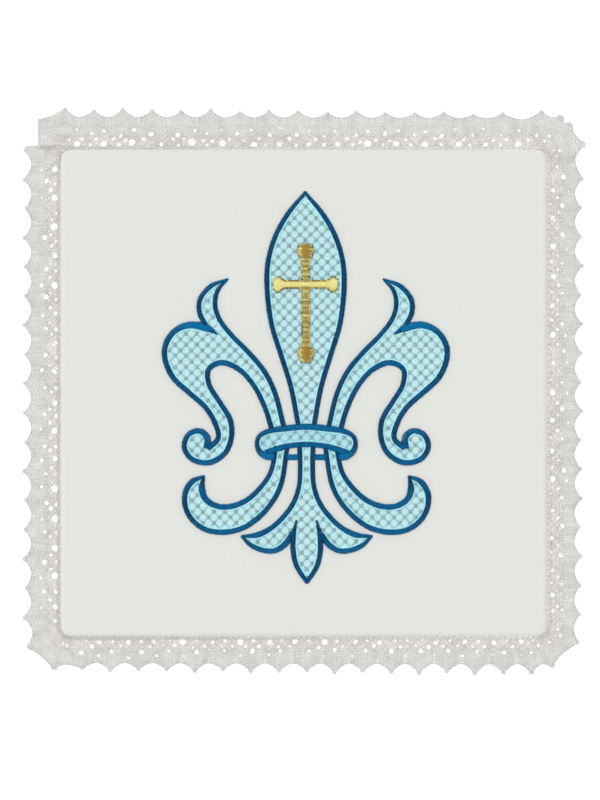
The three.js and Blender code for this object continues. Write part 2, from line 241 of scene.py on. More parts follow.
def put(name, data):
    """Adds an object with this data to the scene."""
    item = bpy.data.objects.new(name, data)
    bpy.context.scene.collection.objects.link(item)
    return item


def make_piece(name, points, quads, material, tone=None, uv=None, triangles=None):
    """A smooth mesh object from points in millimetres and corner indices of its faces.

    tone is a number per point, and uv two numbers per face corner, quads first.
    """
    mesh = bpy.data.meshes.new(name)
    faces = [np.asarray(quads, int).reshape(-1, 4)]
    if triangles is not None:
        faces.append(np.asarray(triangles, int).reshape(-1, 3))
    sizes = np.concatenate([np.full(len(f), f.shape[1]) for f in faces])
    corners = np.concatenate([f.ravel() for f in faces])
    mesh.vertices.add(len(points))
    mesh.vertices.foreach_set("co", in_frame(points).astype(np.float32).ravel())
    mesh.loops.add(len(corners))
    mesh.loops.foreach_set("vertex_index", corners.astype(np.int32))
    mesh.polygons.add(len(sizes))
    mesh.polygons.foreach_set("loop_start", (np.cumsum(sizes) - sizes).astype(np.int32))
    mesh.polygons.foreach_set("use_smooth", np.ones(len(sizes), bool))
    if tone is not None:
        layer = mesh.attributes.new("tone", "FLOAT", "POINT")
        layer.data.foreach_set("value", np.asarray(tone, np.float32).ravel())
    if uv is not None:
        layer = mesh.uv_layers.new(name="thread")
        layer.data.foreach_set("uv", np.asarray(uv, np.float32).ravel())
    mesh.update(calc_edges=True)
    mesh.validate()
    mesh.materials.append(material)
    piece = put(name, mesh)
    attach(piece, BODY)
    return piece


def runs_of(lines):
    """Joins a list of point arrays into one array, with the number of the line beside each point."""
    points = np.concatenate(lines)
    run = np.repeat(np.arange(len(lines)), [len(line) for line in lines])
    return points, run


def thread_surface(points, run, wide, high, across=None):
    """A closed tube along each run of points: an ellipse carried along the run's line.

    At each point the ellipse stands square to the line, its width level with the cloth and its height
    upright. wide and high are the half sizes, one number or one per point. Returns points, quads and
    the uv of the quads' corners: u goes once round the thread and v is the length along it.
    """
    same = run[1:] == run[:-1]
    step = np.where(same[:, None], points[1:] - points[:-1], 0.0)
    way = np.zeros_like(points)
    way[1:] += step
    way[:-1] += step
    way = unit(way)
    if across is None:
        across = unit(raised(-left_of(way[:, :2]), 0.0))
    upright = np.cross(across, way)
    side = np.arange(THREAD_SIDES)
    turn = (2 * np.pi * (side + 0.5) / THREAD_SIDES)[None, :, None]
    wide, high = (np.broadcast_to(half, len(points))[:, None, None] for half in (wide, high))
    ring = across[:, None, :] * wide * np.cos(turn) + upright[:, None, :] * high * np.sin(turn)
    surface = (points[:, None, :] + ring).reshape(-1, 3)

    joint = np.flatnonzero(same)
    starts, ends = (
        np.flatnonzero(edge)[:, None] * THREAD_SIDES for edge in (np.r_[True, ~same], np.r_[~same, True])
    )
    caps = np.concatenate([starts + side, ends + side[::-1]])
    length = np.r_[0.0, np.cumsum(np.linalg.norm(step, axis=1))]
    u = (side[:, None] + SIDE_STEP) / THREAD_SIDES
    v = length[joint[:, None, None] + RING_STEP]
    uv = np.stack(np.broadcast_arrays(u, v), axis=-1).reshape(-1, 2)
    quads = np.concatenate([ring_walls(joint, THREAD_SIDES), caps])
    return surface, quads, np.concatenate([uv, np.zeros((caps.size, 2))])


def thread_piece(name, lines, radius, material, tone=None, flat=1.0):
    """One piece from a list of lines: round threads of that radius, or flatter ones.

    radius is one number, or one per point; tone is one number per line, or one per point.
    """
    points, run = runs_of(lines)
    surface, quads, uv = thread_surface(points, run, radius, radius * flat)
    if tone is None:
        tone = np.random.default_rng(len(points)).uniform(0, 1, len(lines))
    tone = np.asarray(tone)
    tone = tone[run] if len(tone) == len(lines) else tone
    return make_piece(name, surface, quads, material, np.repeat(tone, THREAD_SIDES), uv)


def smooth_line(rows):
    """A smooth line through the rows, as (points, widths).

    Each span is a cubic whose end slopes come from the neighbouring points, spaced by the square root
    of their distances, and the width runs evenly from row to row.
    """
    rows = np.array(rows, float)
    places, widths = rows[:, :2], rows[:, 2]
    padded = np.concatenate([2 * places[:1] - places[1:2], places, 2 * places[-1:] - places[-2:-1]])
    p0, p1, p2, p3 = padded[:-3], padded[1:-2], padded[2:-1], padded[3:]
    gaps = (p1 - p0, p2 - p1, p3 - p2)
    d0, d1, d2 = (np.sqrt(np.linalg.norm(gap, axis=1))[:, None] for gap in gaps)
    slope1 = ((p1 - p0) / d0 - (p2 - p0) / (d0 + d1) + (p2 - p1) / d1) * d1
    slope2 = ((p2 - p1) / d1 - (p3 - p1) / (d1 + d2) + (p3 - p2) / d2) * d1
    s = (np.arange(SPAN_STEPS) / SPAN_STEPS)[None, :, None]
    a, b, c, d = (x[:, None, :] for x in (p1, slope1, p2, slope2))
    line = (2 * s**3 - 3 * s**2 + 1) * a + (s**3 - 2 * s**2 + s) * b
    line = line + (3 * s**2 - 2 * s**3) * c + (s**3 - s**2) * d
    wide = widths[:-1, None] * (1 - s[..., 0]) + widths[1:, None] * s[..., 0]
    points = np.concatenate([line.reshape(-1, 2), p2[-1:]])
    return points, np.r_[wide.ravel(), widths[-1]]


def lengths_along(line):
    """The distance along a line at each of its points."""
    return np.r_[0.0, np.cumsum(np.linalg.norm(np.diff(line, axis=0), axis=1))]


def even_line(line, pitch, extra=None):
    """A line's points spaced evenly by about pitch, with its unit directions and extra values there."""
    length = lengths_along(line)
    whole = length[-1]
    at = np.linspace(0, whole, max(2, round(whole / pitch) + 1))
    reach = min(0.25, whole / 4)

    def there(places):
        return np.stack([np.interp(places, length, line[:, i]) for i in range(2)], axis=1)

    way = there(np.minimum(at + reach, whole)) - there(np.maximum(at - reach, 0))
    return there(at), unit(way), None if extra is None else np.interp(at, length, extra)


def mirrored(rows):
    """The rows of the other half of a stroke, in the opposite order."""
    return [(-out, up, wide) for out, up, wide in reversed(rows)]


def band_lines():
    """The band's rim and its arch as whole lines, from left to right."""
    return [smooth_line(mirrored(half)[:-1] + half) for half in (BAND_RIM, BAND_ARCH)]


def all_strokes():
    """Every blue stroke as (points, widths, inside, layer), with both halves and the band.

    A stroke with a higher layer is sewn over the others. inside is 0 where no net lies beside it.
    """
    strokes = []
    for order, (inside, rows) in enumerate(STROKES.values()):
        for half in (rows, mirrored(rows)):
            strokes.append((*smooth_line(half), inside, order % 3 * LAYERS["step"]))
    for half in (BAND_FOOT, mirrored(BAND_FOOT)):
        strokes.append((*smooth_line(half), 0, LAYERS["foot"]))
    rim, arch = band_lines()
    return [*strokes, (*rim, -1, LAYERS["rim"]), (*arch, 1, LAYERS["arch"])]


def on_axis(points):
    """Moves points given from the motif's axis to where the axis stands on the panel."""
    points = np.asarray(points, float)
    aside = MOTIF_AXIS_X - MOTIF_LEAN * points[..., 1]
    return points + np.stack([aside, np.zeros_like(aside)], axis=-1)


def fill_outlines():
    """The areas that the net fills: a closed outline, and the height of one row of crossings, by name.

    An outline follows the middles of the strokes round it. The first span of the lobe and of the blade
    lies on another stroke and is left out.
    """
    line = {name: smooth_line(rows)[0] for name, (_, rows) in STROKES.items()}
    mirror = np.array([-1.0, 1.0])

    def both(right):
        return np.concatenate([right, right[::-1] * mirror])

    side = np.concatenate([
        line["horn_inner"][::-1], line["horn_outer"], line["lobe"][SPAN_STEPS:], line["arch_and_volute"][::-1],
    ])
    tail = np.concatenate([line["tail_inner"], line["tail_outer"]])
    centre = np.concatenate([line["leaf_upper"], line["leaf_lower"], line["blade"][SPAN_STEPS:]])
    rim, arch = (points for points, _ in band_lines())
    band = np.concatenate([rim[rim[:, 1] > BAND_FILL_LOW], arch[::-1]])
    return {
        "petal": (both(line["petal_edge"]), 24.85),
        "side_right": (side, 13.1),
        "side_left": (side[::-1] * mirror, 13.1),
        "tail_right": (tail, -36.6),
        "tail_left": (tail[::-1] * mirror, -36.6),
        "centre": (both(centre), -38.9),
        "band": (band, -13.7),
    }


def hatch(outline, angle, pitch, phase):
    """Evenly spaced straight lines at an angle, cut to the inside of a closed outline.

    The outline is turned so that the lines are level. Each line's crossings with the outline's edges,
    sorted, are taken in pairs. Returns the two ends of each line inside.
    """
    c, s = math.cos(angle), math.sin(angle)
    turned = outline @ np.array([[c, -s], [s, c]])
    start, end = turned, np.roll(turned, -1, axis=0)
    low, high = turned[:, 1].min(), turned[:, 1].max()
    rows = np.arange(math.ceil((low - phase) / pitch), math.floor((high - phase) / pitch) + 1)
    ends = []
    for level in rows * pitch + phase:
        hit = (start[:, 1] > level) != (end[:, 1] > level)
        a, b = start[hit], end[hit]
        x = np.sort(a[:, 0] + (level - a[:, 1]) / (b[:, 1] - a[:, 1]) * (b[:, 0] - a[:, 0]))
        pairs = x[: len(x) // 2 * 2].reshape(-1, 2)
        ends.append(np.stack([pairs, np.full_like(pairs, level)], axis=2))
    return np.concatenate(ends) @ np.array([[c, s], [-s, c]])


def between(ends, pitch):
    """A straight run of points from end to end, about pitch apart and at least three."""
    share = np.linspace(0, 1, max(3, int(np.linalg.norm(ends[1] - ends[0]) / pitch) + 1))[:, None]
    return ends[0] * (1 - share) + ends[1] * share


class Nodes:
    """A material's node tree with short ways to add a node and join it up."""

    def __init__(self, name):
        self.material = bpy.data.materials.new(name)
        self.material.use_nodes = True
        self.tree = self.material.node_tree
        self.tree.nodes.clear()
        self.shader = self.add("ShaderNodeBsdfPrincipled")
        output = self.add("ShaderNodeOutputMaterial")
        self.join(self.shader.outputs[0], output.inputs["Surface"])

    def add(self, kind, **settings):
        node = self.tree.nodes.new(kind)
        for name, value in settings.items():
            setattr(node, name, value)
        return node

    def join(self, source, target):
        self.tree.links.new(source, target)

    def feed(self, value, socket):
        """Gives a socket another node's output, a number or a colour."""
        if isinstance(value, bpy.types.NodeSocket):
            self.join(value, socket)
        else:
            socket.default_value = value if isinstance(value, (int, float)) else (*value, 1.0)

    def math(self, operation, *values):
        """A Math node whose inputs are numbers or other nodes' outputs."""
        node = self.add("ShaderNodeMath", operation=operation)
        for value, socket in zip(values, node.inputs):
            self.feed(value, socket)
        return node.outputs[0]

    def times(self, a, b):
        return self.math("MULTIPLY", a, b)

    def blend(self, share, a, b, way="MIX"):
        """A colour mix of two colours, given as numbers or outputs."""
        node = self.add("ShaderNodeMix", data_type="RGBA", blend_type=way)
        for value, i in ((share, 0), (a, 6), (b, 7)):
            self.feed(value, node.inputs[i])
        return node.outputs[2]

    def stray(self, scale, detail, size):
        """Noise that strays by up to half of size to either side of nothing."""
        return self.times(self.math("SUBTRACT", self.noise(scale, detail), 0.5), size)

    def noise(self, scale, detail, stretch=(1, 1, 1)):
        """Noise on the piece's own Object coordinates, scale in lumps to the metre."""
        coordinates = self.add("ShaderNodeTexCoord")
        mapping = self.add("ShaderNodeMapping")
        mapping.inputs["Scale"].default_value = stretch
        texture = self.add("ShaderNodeTexNoise")
        texture.inputs["Scale"].default_value = scale
        texture.inputs["Detail"].default_value = detail
        self.join(coordinates.outputs["Object"], mapping.inputs["Vector"])
        self.join(mapping.outputs[0], texture.inputs["Vector"])
        return texture.outputs["Fac"]

    def bump(self, height, distance, strength=1.0):
        node = self.add("ShaderNodeBump")
        node.inputs["Strength"].default_value = strength
        node.inputs["Distance"].default_value = distance
        self.join(height, node.inputs["Height"])
        self.join(node.outputs[0], self.shader.inputs["Normal"])

    def set(self, **values):
        """Sets the shader's own sockets, such as sheen_weight for Sheen Weight."""
        for name, value in values.items():
            socket = name.replace("_", " ").title().replace("Ior", "IOR")
            self.shader.inputs[socket].default_value = value


def linen_material(colour, thread):
    """Plain weave: warp and weft cross by turns, each a rounded ridge, with slubs, faint mottling and painted
    shade between the ridges.
    """
    n = Nodes("linen")
    split = n.add("ShaderNodeSeparateXYZ")
    n.join(n.add("ShaderNodeTexCoord").outputs["Object"], split.inputs[0])
    drift = n.stray(160, 2, 1.6)
    x, y = (n.math("ADD", n.math("DIVIDE", split.outputs[axis], thread), drift) for axis in "XY")

    def ridge(across, along, sign):
        """A thread's rounded back, which rises and falls as it passes over and under."""
        back = n.math("ABSOLUTE", n.math("SINE", n.times(across, math.pi)))
        column = n.times(n.math("FLOOR", across), math.pi)
        wave = n.math("SINE", n.math("ADD", n.times(along, math.pi), column))
        return n.times(n.math("POWER", back, 0.6), n.math("MULTIPLY_ADD", wave, 0.5 * sign, 0.5))

    weave = n.math("MAXIMUM", ridge(x, y, 1), ridge(y, x, -1))
    slub = n.times(n.math("ADD", n.noise(150, 3, (1, 12, 1)), n.noise(150, 3, (12, 1, 1))), 0.5)
    n.bump(n.times(weave, n.math("MULTIPLY_ADD", slub, 0.8, 0.6)), 0.00009, 0.55)
    pale = tuple(min(1.0, part * 1.03) for part in colour)
    deep = scaled(colour, 0.86)
    # painted shade: the low places between the weave's ridges are mixed towards the deeper colour
    weave_shade = n.blend(n.math("MULTIPLY_ADD", weave, 0.55, 0.45), deep, pale)
    slubbed = n.blend(n.math("MULTIPLY_ADD", slub, 1.6, -0.3), deep, pale)
    mottle = n.math("MULTIPLY_ADD", n.noise(28, 4), 0.12, 0.94)
    tint = n.blend(mottle, (0.93, 0.93, 0.93), (1, 1, 1))
    colour = n.blend(1.0, n.blend(0.28, weave_shade, slubbed), tint, "MULTIPLY")
    n.join(colour, n.shader.inputs["Base Color"])
    n.set(roughness=0.86, sheen_weight=0.25, sheen_roughness=0.5, specular_ior_level=0.25)
    return n.material


def thread_material(name, deep, pale, roughness, twist, groove=0.3, middle=None, mottle=0.0, **shader):
    """Spun thread: its tone runs from deep to pale, and its plies wind round it as ridges, with painted shade
    darkening the grooves between them.

    With a middle colour the tone passes through it half way. mottle adds slow patches of tone. shader
    holds further values for the shader's own sockets.
    """
    n = Nodes(name)
    tone = n.add("ShaderNodeAttribute", attribute_name="tone")
    split = n.add("ShaderNodeSeparateXYZ")
    n.join(n.add("ShaderNodeUVMap", uv_map="thread").outputs[0], split.inputs[0])
    turns = n.math("DIVIDE", split.outputs["Y"], twist)
    winding = n.math("ADD", n.times(split.outputs["X"], THREAD_PLIES), turns)
    ply = n.math("ABSOLUTE", n.math("SINE", n.times(winding, math.pi)))
    fleck = n.noise(1400, 3)
    share = n.math("ADD", tone.outputs["Fac"], n.times(n.math("SUBTRACT", fleck, 0.5), 0.5))
    if mottle:
        share = n.math("ADD", share, n.stray(330, 2, mottle))
    share = n.math("MINIMUM", n.math("MAXIMUM", share, 0.0), 1.0)
    if middle is None:
        colour = n.blend(share, deep, pale)
    else:
        low = n.math("MINIMUM", n.times(share, 2.0), 1.0)
        high = n.math("MAXIMUM", n.math("MULTIPLY_ADD", share, 2.0, -1.0), 0.0)
        colour = n.blend(high, n.blend(low, deep, middle), pale)
    # painted shade: the colour is darkened in the grooves between the plies
    shade = n.math("MULTIPLY_ADD", ply, groove, 1 - groove)
    dark = n.add("ShaderNodeCombineColor")
    for i in range(3):
        n.join(shade, dark.inputs[i])
    n.join(n.blend(1.0, colour, dark.outputs[0], "MULTIPLY"), n.shader.inputs["Base Color"])
    n.bump(n.math("MULTIPLY_ADD", fleck, 0.3, ply), 0.00005, 0.5)
    n.set(roughness=roughness, **{"specular_ior_level": 0.4, **shader})
    return n.material


class Strip:
    """The lace strip as a surface of two parameters: along it, and out from its foot.

    Its spokes stand at the scallops' tips and valleys by turns. Between two spokes the foot and the
    direction run evenly from one to the other, and a place on the strip is foot plus direction times
    the distance out. The strip's own length is measured at mid depth.
    """

    mid_depth = 5.0
    fine = 32

    def __init__(self):
        half = PANEL_SIDE / 2
        edge = half + PIECE_GAP
        spokes = []
        for index, (normal, tips, (first, last), tip_reach, valley_reach) in enumerate(SIDES):
            normal = np.array(normal, float)
            travel = left_of(normal)
            i, valley = np.divmod(np.arange(2 * tips - 1), 2)
            drift = i / (tips - 1)
            uneven = TIP_UNEVEN["size"] * np.sin(TIP_UNEVEN["per_tip"] * i + TIP_UNEVEN["per_side"] * index)
            to_tip, to_valley = (np.interp(drift, (0, 1), reach) for reach in (tip_reach, valley_reach))
            along, reach = np.linspace(first, last, len(i)), np.where(valley, to_valley, to_tip + uneven)
            if index == len(SIDES) - 1:
                along, reach = np.r_[STRETCHED_VALLEY[0], along], np.r_[STRETCHED_VALLEY[1], reach]
            feet = normal * edge + travel * along[:, None]
            spokes.append((feet, np.tile(normal, (len(feet), 1)), reach - PIECE_GAP))

            turn, reach = np.reshape(CORNERS[index], (-1, 2)).T
            turned = math.atan2(normal[1], normal[0]) + np.radians(turn)
            ways = np.stack([np.cos(turned), np.sin(turned)], axis=1)
            feet = (normal + travel) * (half - PANEL_CORNER) + ways * (PANEL_CORNER + PIECE_GAP)
            spokes.append((feet, ways, reach - PANEL_CORNER - PIECE_GAP))
        start = ([[-edge, STRIP_START]], [[-1.0, 0.0]], [spokes[0][2][0] - START_INSET])
        end = ([[-STRIP_END, edge]], [[0.0, 1.0]], [half + STRIP_END_REACH - edge])
        self.feet, self.ways, self.reaches = (np.concatenate(each) for each in zip(start, *spokes, end))
        self.last = len(self.feet) - 1
        self.steps = np.linspace(0, self.last, self.last * self.fine + 1)
        foot, way = self.spoke(self.steps)
        self.lengths = lengths_along(foot + way * self.mid_depth)
        self.length = self.lengths[-1]

    def spoke(self, step):
        """The foot and the unit direction at a place along, counted in spokes."""
        i = np.clip(np.floor(step).astype(int), 0, self.last - 1)
        share = (step - i)[..., None]
        foot, way = (ends[i] * (1 - share) + ends[i + 1] * share for ends in (self.feet, self.ways))
        return foot, unit(way)

    def rim(self, step):
        """How far the scalloped rim reaches: down from the tip to the valley on a hollow curve."""
        i = np.clip(np.floor(step).astype(int), 0, self.last - 1)
        tip_first = i % 2 == 1
        tip, valley = self.reaches[np.where(tip_first, i, i + 1)], self.reaches[np.where(tip_first, i + 1, i)]
        away = np.where(tip_first, step - i, 1 - (step - i))
        return valley + (tip - valley) * (1 - away) ** SCALLOP_POWER

    def step_at(self, length):
        return np.interp(length, self.lengths, self.steps)

    def length_at(self, step):
        return np.interp(step, self.steps, self.lengths)

    def reach_at(self, length):
        """How far the rim reaches at a length along the strip."""
        return self.rim(self.step_at(length))

    def tip_lengths(self):
        """Where the tips stand along the strip."""
        return self.length_at(np.arange(1, self.last, 2))

    def lapped(self, length):
        """How far the strip has risen over its own start: 0 before the lap, and 1 on it."""
        return np.clip((length - self.length + LAP["long"]) / LAP["rise"], 0, 1)

    def place(self, length, out, lift):
        """Points of the strip in millimetres, lift above its own lie.

        The strip leaves the panel's edge a little raised and sinks to the table on an even curve, with a
        slow wave. Its last end lies on its first.
        """
        foot, way = self.spoke(self.step_at(length))
        sink = np.clip(out / LIE["flat_from"], 0, 1)
        lie = LIE["foot"] - LIE["sunk"] * sink * sink * (3 - 2 * sink)
        wave = WAVE["high"] * np.sin(length / WAVE["short"]) * np.sin(length / WAVE["long"] + 1.0)
        wave = wave * np.clip(out / WAVE["whole_from"], 0, 1)
        height = lie + wave + LAP["high"] * self.lapped(length) + lift
        return raised(foot + way * np.asarray(out)[..., None], height)


def eyelets(strip):
    """The strip's eyelets in order, one array of (place along, out, radius, wide) for each kind.

    Each stands at its share of the way from a tip to the next, strays a little, and some are missing.
    The corners, where the strip is eased, have none close to the foot. One that is missing stays as a
    point.
    """
    rng = np.random.default_rng(11)
    tips = np.arange(1, strip.last, 2)
    count = len(tips)
    kinds = []
    for share, out_at, size, wide, stray, often in EYELETS:
        step = np.clip(tips + 2 * share, 0, strip.last)
        at = strip.length_at(step) + rng.normal(0, stray, count)
        out = out_at + rng.normal(0, stray * EYELET_STRAY_OUT, count)
        way = strip.spoke(step)[1]
        radius = size * rng.uniform(*EYELET_SIZES, count) * (1 + way @ np.array(EYELET_LEAN["size"]))
        if out_at < EYELET_FOOT_ROWS:
            out = out + way @ np.array(EYELET_LEAN["out"]) - EYELET_LEAN["out_in"] * np.abs(way[:, 0])
        straight = np.abs(way).max(axis=1) > 0.999
        low, high = EYELET_MIDDLE_ROWS
        in_corner = EYELETS_IN_CORNERS if low < out_at < high else 0
        there = rng.uniform(0, 1, count) < often * np.where(straight, 1, in_corner)
        there &= (at > EYELET_FREE_START) & (at < strip.length - EYELET_FREE_END)
        kind = np.stack([at, out, np.where(there, radius, EYELET_MISSING), np.full(count, wide)], axis=1)
        kinds.append(kind[np.argsort(at)])
    return kinds


def opened(length, out, kinds, angle, slack):
    """Bends a thread round the eyelets.

    A thread that runs at that angle and would pass c beside an eyelet's middle is pushed sideways to
    the square root of c squared plus the radius squared, times a bell that fades along the thread.
    slack is that thread's own share of the radius, so that no eyelet is quite round.
    """
    along = np.array([math.cos(angle), math.sin(angle)])
    side = left_of(along)
    bell_sharp, fade_wide = 1.1, 3.0
    start_length, start_out = length, out
    for holes in kinds:
        at = holes[:, 0]
        near = np.clip(np.searchsorted(at, start_length), 1, len(at) - 1)
        near = np.where(start_length - at[near - 1] < at[near] - start_length, near - 1, near)
        hole_length, hole_out, radius, wide = holes[near].T
        d_length, d_out, radius = start_length - hole_length, start_out - hole_out, radius * slack
        a = d_length * along[0] + d_out * along[1]
        c = d_length * side[0] + d_out * side[1]
        long_way, wide_way = (1 + (wide - 1) * abs(way[0]) for way in (along, side))
        bell = np.exp(-bell_sharp * (a / (radius * long_way)) ** 2)
        fade = np.exp(-((c / (fade_wide * radius)) ** 2))
        push = np.sqrt(c * c + (radius * wide_way) ** 2 * bell) - np.abs(c)
        push *= np.where(c >= 0, 1.0, -1.0) * fade
        length, out = length + push * side[0], out + push * side[1]
    return length, out


def spread(strip, length, out):
    """How far apart places along the strip lie at a distance out, as a share of that at mid depth."""
    near, least, most = 0.2, 0.55, 2.2
    behind, ahead = (strip.place(np.clip(length + by, 0, strip.length), out, 0.0) for by in (-near, near))
    return np.clip(np.linalg.norm(ahead - behind, axis=-1) / (2 * near), least, most)


def lace_threads(strip, thread):
    """The threads of the lace by kind: ground, fans, rim and foot, each as (points, radius).

    The ground is two families of slanting threads that pass over and under each other. The fans are
    cloth stitch: threads along the strip that bend towards the scalloped rim, crossed by workers. Where
    the strip is eased round a corner the threads lie further apart, and are drawn wider by as much.
    """
    rng = np.random.default_rng(5)
    kinds = eyelets(strip)
    threads = {"ground": [], "fans": [], "rim": [], "foot": []}
    margin, swing, twist, cuts_across = 0.05, 0.13, 1.5, 1 / 80

    def lay(kind, length, out, lift, radius):
        points = strip.place(np.clip(length, 0, strip.length), out, lift)
        threads[kind].append((points, np.broadcast_to(radius, len(points))))

    def stray_slack(low, high):
        """Most threads pass an eyelet at its edge, and one in eighty cuts across it."""
        return rng.uniform(0.0, 0.5) if rng.uniform() < cuts_across else rng.uniform(low, high)

    def twisted(kind, along, out, lift, rise, radius):
        """Two threads wound round each other, which swing sideways and up by turns."""
        for phase in (0.0, math.pi):
            turn = 2 * np.pi * along / twist + phase
            lay(kind, along, out + swing * np.sin(turn), lift + rise * np.cos(turn), radius)

    # the ground reaches in under the panel's round corner where the strip's two ends meet
    ground_low, ground_high, pitch, weave, least_cover = 0.7, 4.9, 0.86, 0.15, 0.8
    tucked, tuck, overrun = 4.5, -2.4, 5.0
    out = np.arange(tuck, ground_high + 0.01, 0.32)
    for lean in (1, -1):
        starts = np.arange(-overrun, strip.length + overrun, pitch)
        for start in starts + rng.normal(0, 0.04, len(starts)):
            length = start + lean * out
            low = np.where(length < tucked, tuck, ground_low)
            keep = (length > margin) & (length < strip.length - margin) & (out >= low)
            slack = stray_slack(0.7, 1.1)
            if keep.sum() < 3:
                continue
            u, t = length[keep], out[keep]
            lift = lean * weave * np.cos(2 * np.pi * u / pitch)
            u, t = opened(u, t, kinds, lean * math.pi / 4, slack)
            lay("ground", u, t, lift, thread * np.maximum(least_cover, spread(strip, u, t)))

    # the foot's inner pair is sewn down and stops where the strip laps over its own start
    high = 0.3
    for out_at, short in ((0.12, 8.4), (0.58, 0.0)):
        along = np.arange(margin, strip.length - short, 0.5)
        twisted("foot", along, out_at, high * (1 - out_at - strip.lapped(along)), 0.12, thread)

    # the fans' rows reach from their inner line to the rim, and each thread covers its share of the pitch
    inner, rows, cover, worker_pitch, worker_low, bend = 4.4, 10, 0.48, 0.6, 4.1, 0.12
    along = np.arange(margin, strip.length, 0.62)
    deep = strip.reach_at(along) - inner
    for row in range(rows):
        lift = swing * np.cos(np.pi * (along / worker_pitch + row))
        u, t = opened(along, inner + deep * (row + 0.4) / rows, kinds, 0.0, stray_slack(0.7, 1.05))
        lay("fans", u, t, lift, cover * deep / rows)
    tips = strip.tip_lengths()
    fine = np.arange(0, strip.length, 0.1)
    density = np.sqrt(np.maximum(1, spread(strip, fine, strip.reach_at(fine))))
    count = np.cumsum(density) * 0.1 / worker_pitch
    starts = np.interp(np.arange(0.3, count[-1], 1.0), count, fine)
    share = np.linspace(0, 1, 10)
    for i, (start, gap, reach) in enumerate(zip(starts, np.gradient(starts), strip.reach_at(starts))):
        tip = tips[np.argmin(np.abs(tips - start))]
        t = worker_low + (reach - worker_low - 0.1) * share
        u = start + (tip - start) * bend * share**2
        lift = -swing * np.cos(np.pi * (i + share * rows))
        wide = cover * gap * spread(strip, u, t)
        u, t = opened(u, t, kinds, math.pi / 2, stray_slack(0.75, 1.1))
        lay("fans", u, t, lift, wide)
    for end in (0.2, 0.6, strip.length - 0.6, strip.length - 0.2):
        t = np.linspace(tuck if end < 1 else 0.3, strip.reach_at(end), 30)
        lay("fans", np.full(30, end), t, 0.1 * np.cos(2 * np.pi * t / 0.9), thread)

    steps = np.linspace(0, strip.last, strip.last * 12 + 1)
    even = np.arange(0, strip.length, 0.4)
    reach = np.interp(even, strip.length_at(steps), strip.rim(steps))
    twisted("rim", even, reach - 0.05, 0.0, 0.15, thread * 0.85)
    # a small ring of two turns ends each tip
    ring_sizes, ring_inset, ring_open = (0.55, 0.25), 0.35, 0.85
    angle = np.linspace(-ring_open * np.pi, ring_open * np.pi, 12)
    for tip, reach in zip(tips, strip.reach_at(tips)):
        centre = tip + rng.normal(0, 0.08)
        for size in ring_sizes:
            u = centre + size * rng.uniform(0.9, 1.15) * np.sin(angle)
            lay("rim", u, reach - ring_inset + size * np.cos(angle), 0.1, thread * 1.15)
    return threads


def satin_stitches(middle, way, width, high, slant, rng, base, uneven=0.035):
    """Stitches that lie across a line side by side, each bowed over its padding.

    A stitch runs from one edge to the other, turned a little by slant. Its height at share q across is
    high times the 0.45 power of one minus the 2.4 power of its distance from the middle. uneven is how
    much the reach strays from stitch to stitch. Returns the points, the stitch that each is on, how
    the thread's width lies there, and q.
    """
    q = np.array([-1.0, -0.93, -0.6, 0.0, 0.6, 0.93, 1.0])
    count = len(middle)
    reach = (SATIN_REACH * width / 2)[:, None] * (1 + rng.normal(0, uneven, (count, 1)))
    reach = reach + rng.normal(0, 0.02, (count, 1))
    turned = left_of(way) + way * slant
    flat = middle[:, None, :] + turned[:, None, :] * (reach * q)[..., None]
    bow = np.maximum(1 - np.abs(q) ** 2.4, 0) ** 0.45
    lift = base + (high * np.minimum(1, width / SATIN_FULL_WIDTH))[:, None] * bow
    lift[:, [0, -1]] = base - SATIN_SUNK
    across = np.repeat(raised(-left_of(unit(turned)), 0.0), len(q), axis=0)
    run = np.repeat(np.arange(count), len(q))
    return raised(flat, lift).reshape(-1, 3), run, across, np.tile(q, count)


def joined(parts):
    """Joins (points, quads, tone, uv) parts into one, each part's corners counted on from the last's."""
    points, quads, tones, uvs = zip(*parts)
    before = np.cumsum([0, *map(len, points[:-1])])
    quads = [faces + first for faces, first in zip(quads, before)]
    return [np.concatenate(each) for each in (points, quads, tones, uvs)]


def length_property(name, description, default_mm):
    return bpy.props.FloatProperty(
        name=name, description=description, default=default_mm * MM, min=0, unit="LENGTH", precision=5
    )


def number_property(name, description, default):
    return bpy.props.FloatProperty(name=name, description=description, default=default)


def colour_property(name, description, default):
    return bpy.props.FloatVectorProperty(
        name=name, description=description, default=default, min=0, max=1, size=3, subtype="COLOR"
    )


class PallLinen(bpy.types.PropertyGroup):
    """The linen square."""

    side: length_property("Side", "Side of the linen square", PANEL_SIDE)
    thick: length_property("Thickness", "Thickness of the stiffened square", PANEL_THICK)
    edge: length_property("Edge radius", "Radius of the soft turned edge", PANEL_EDGE_ROUND)
    thread: length_property("Thread pitch", "Distance from thread to thread in the weave", 0.46)
    colour: colour_property("Colour", "Colour of the linen", (0.757, 0.770, 0.738))


class PallLace(bpy.types.PropertyGroup):
    """The lace edging."""

    thread: length_property("Thread radius", "Radius of the lace thread", 0.25)
    deep: colour_property("Shaded colour", "Colour of the darker threads", (0.665, 0.637, 0.627))
    pale: colour_property("Light colour", "Colour of the lighter threads", (0.895, 0.868, 0.854))


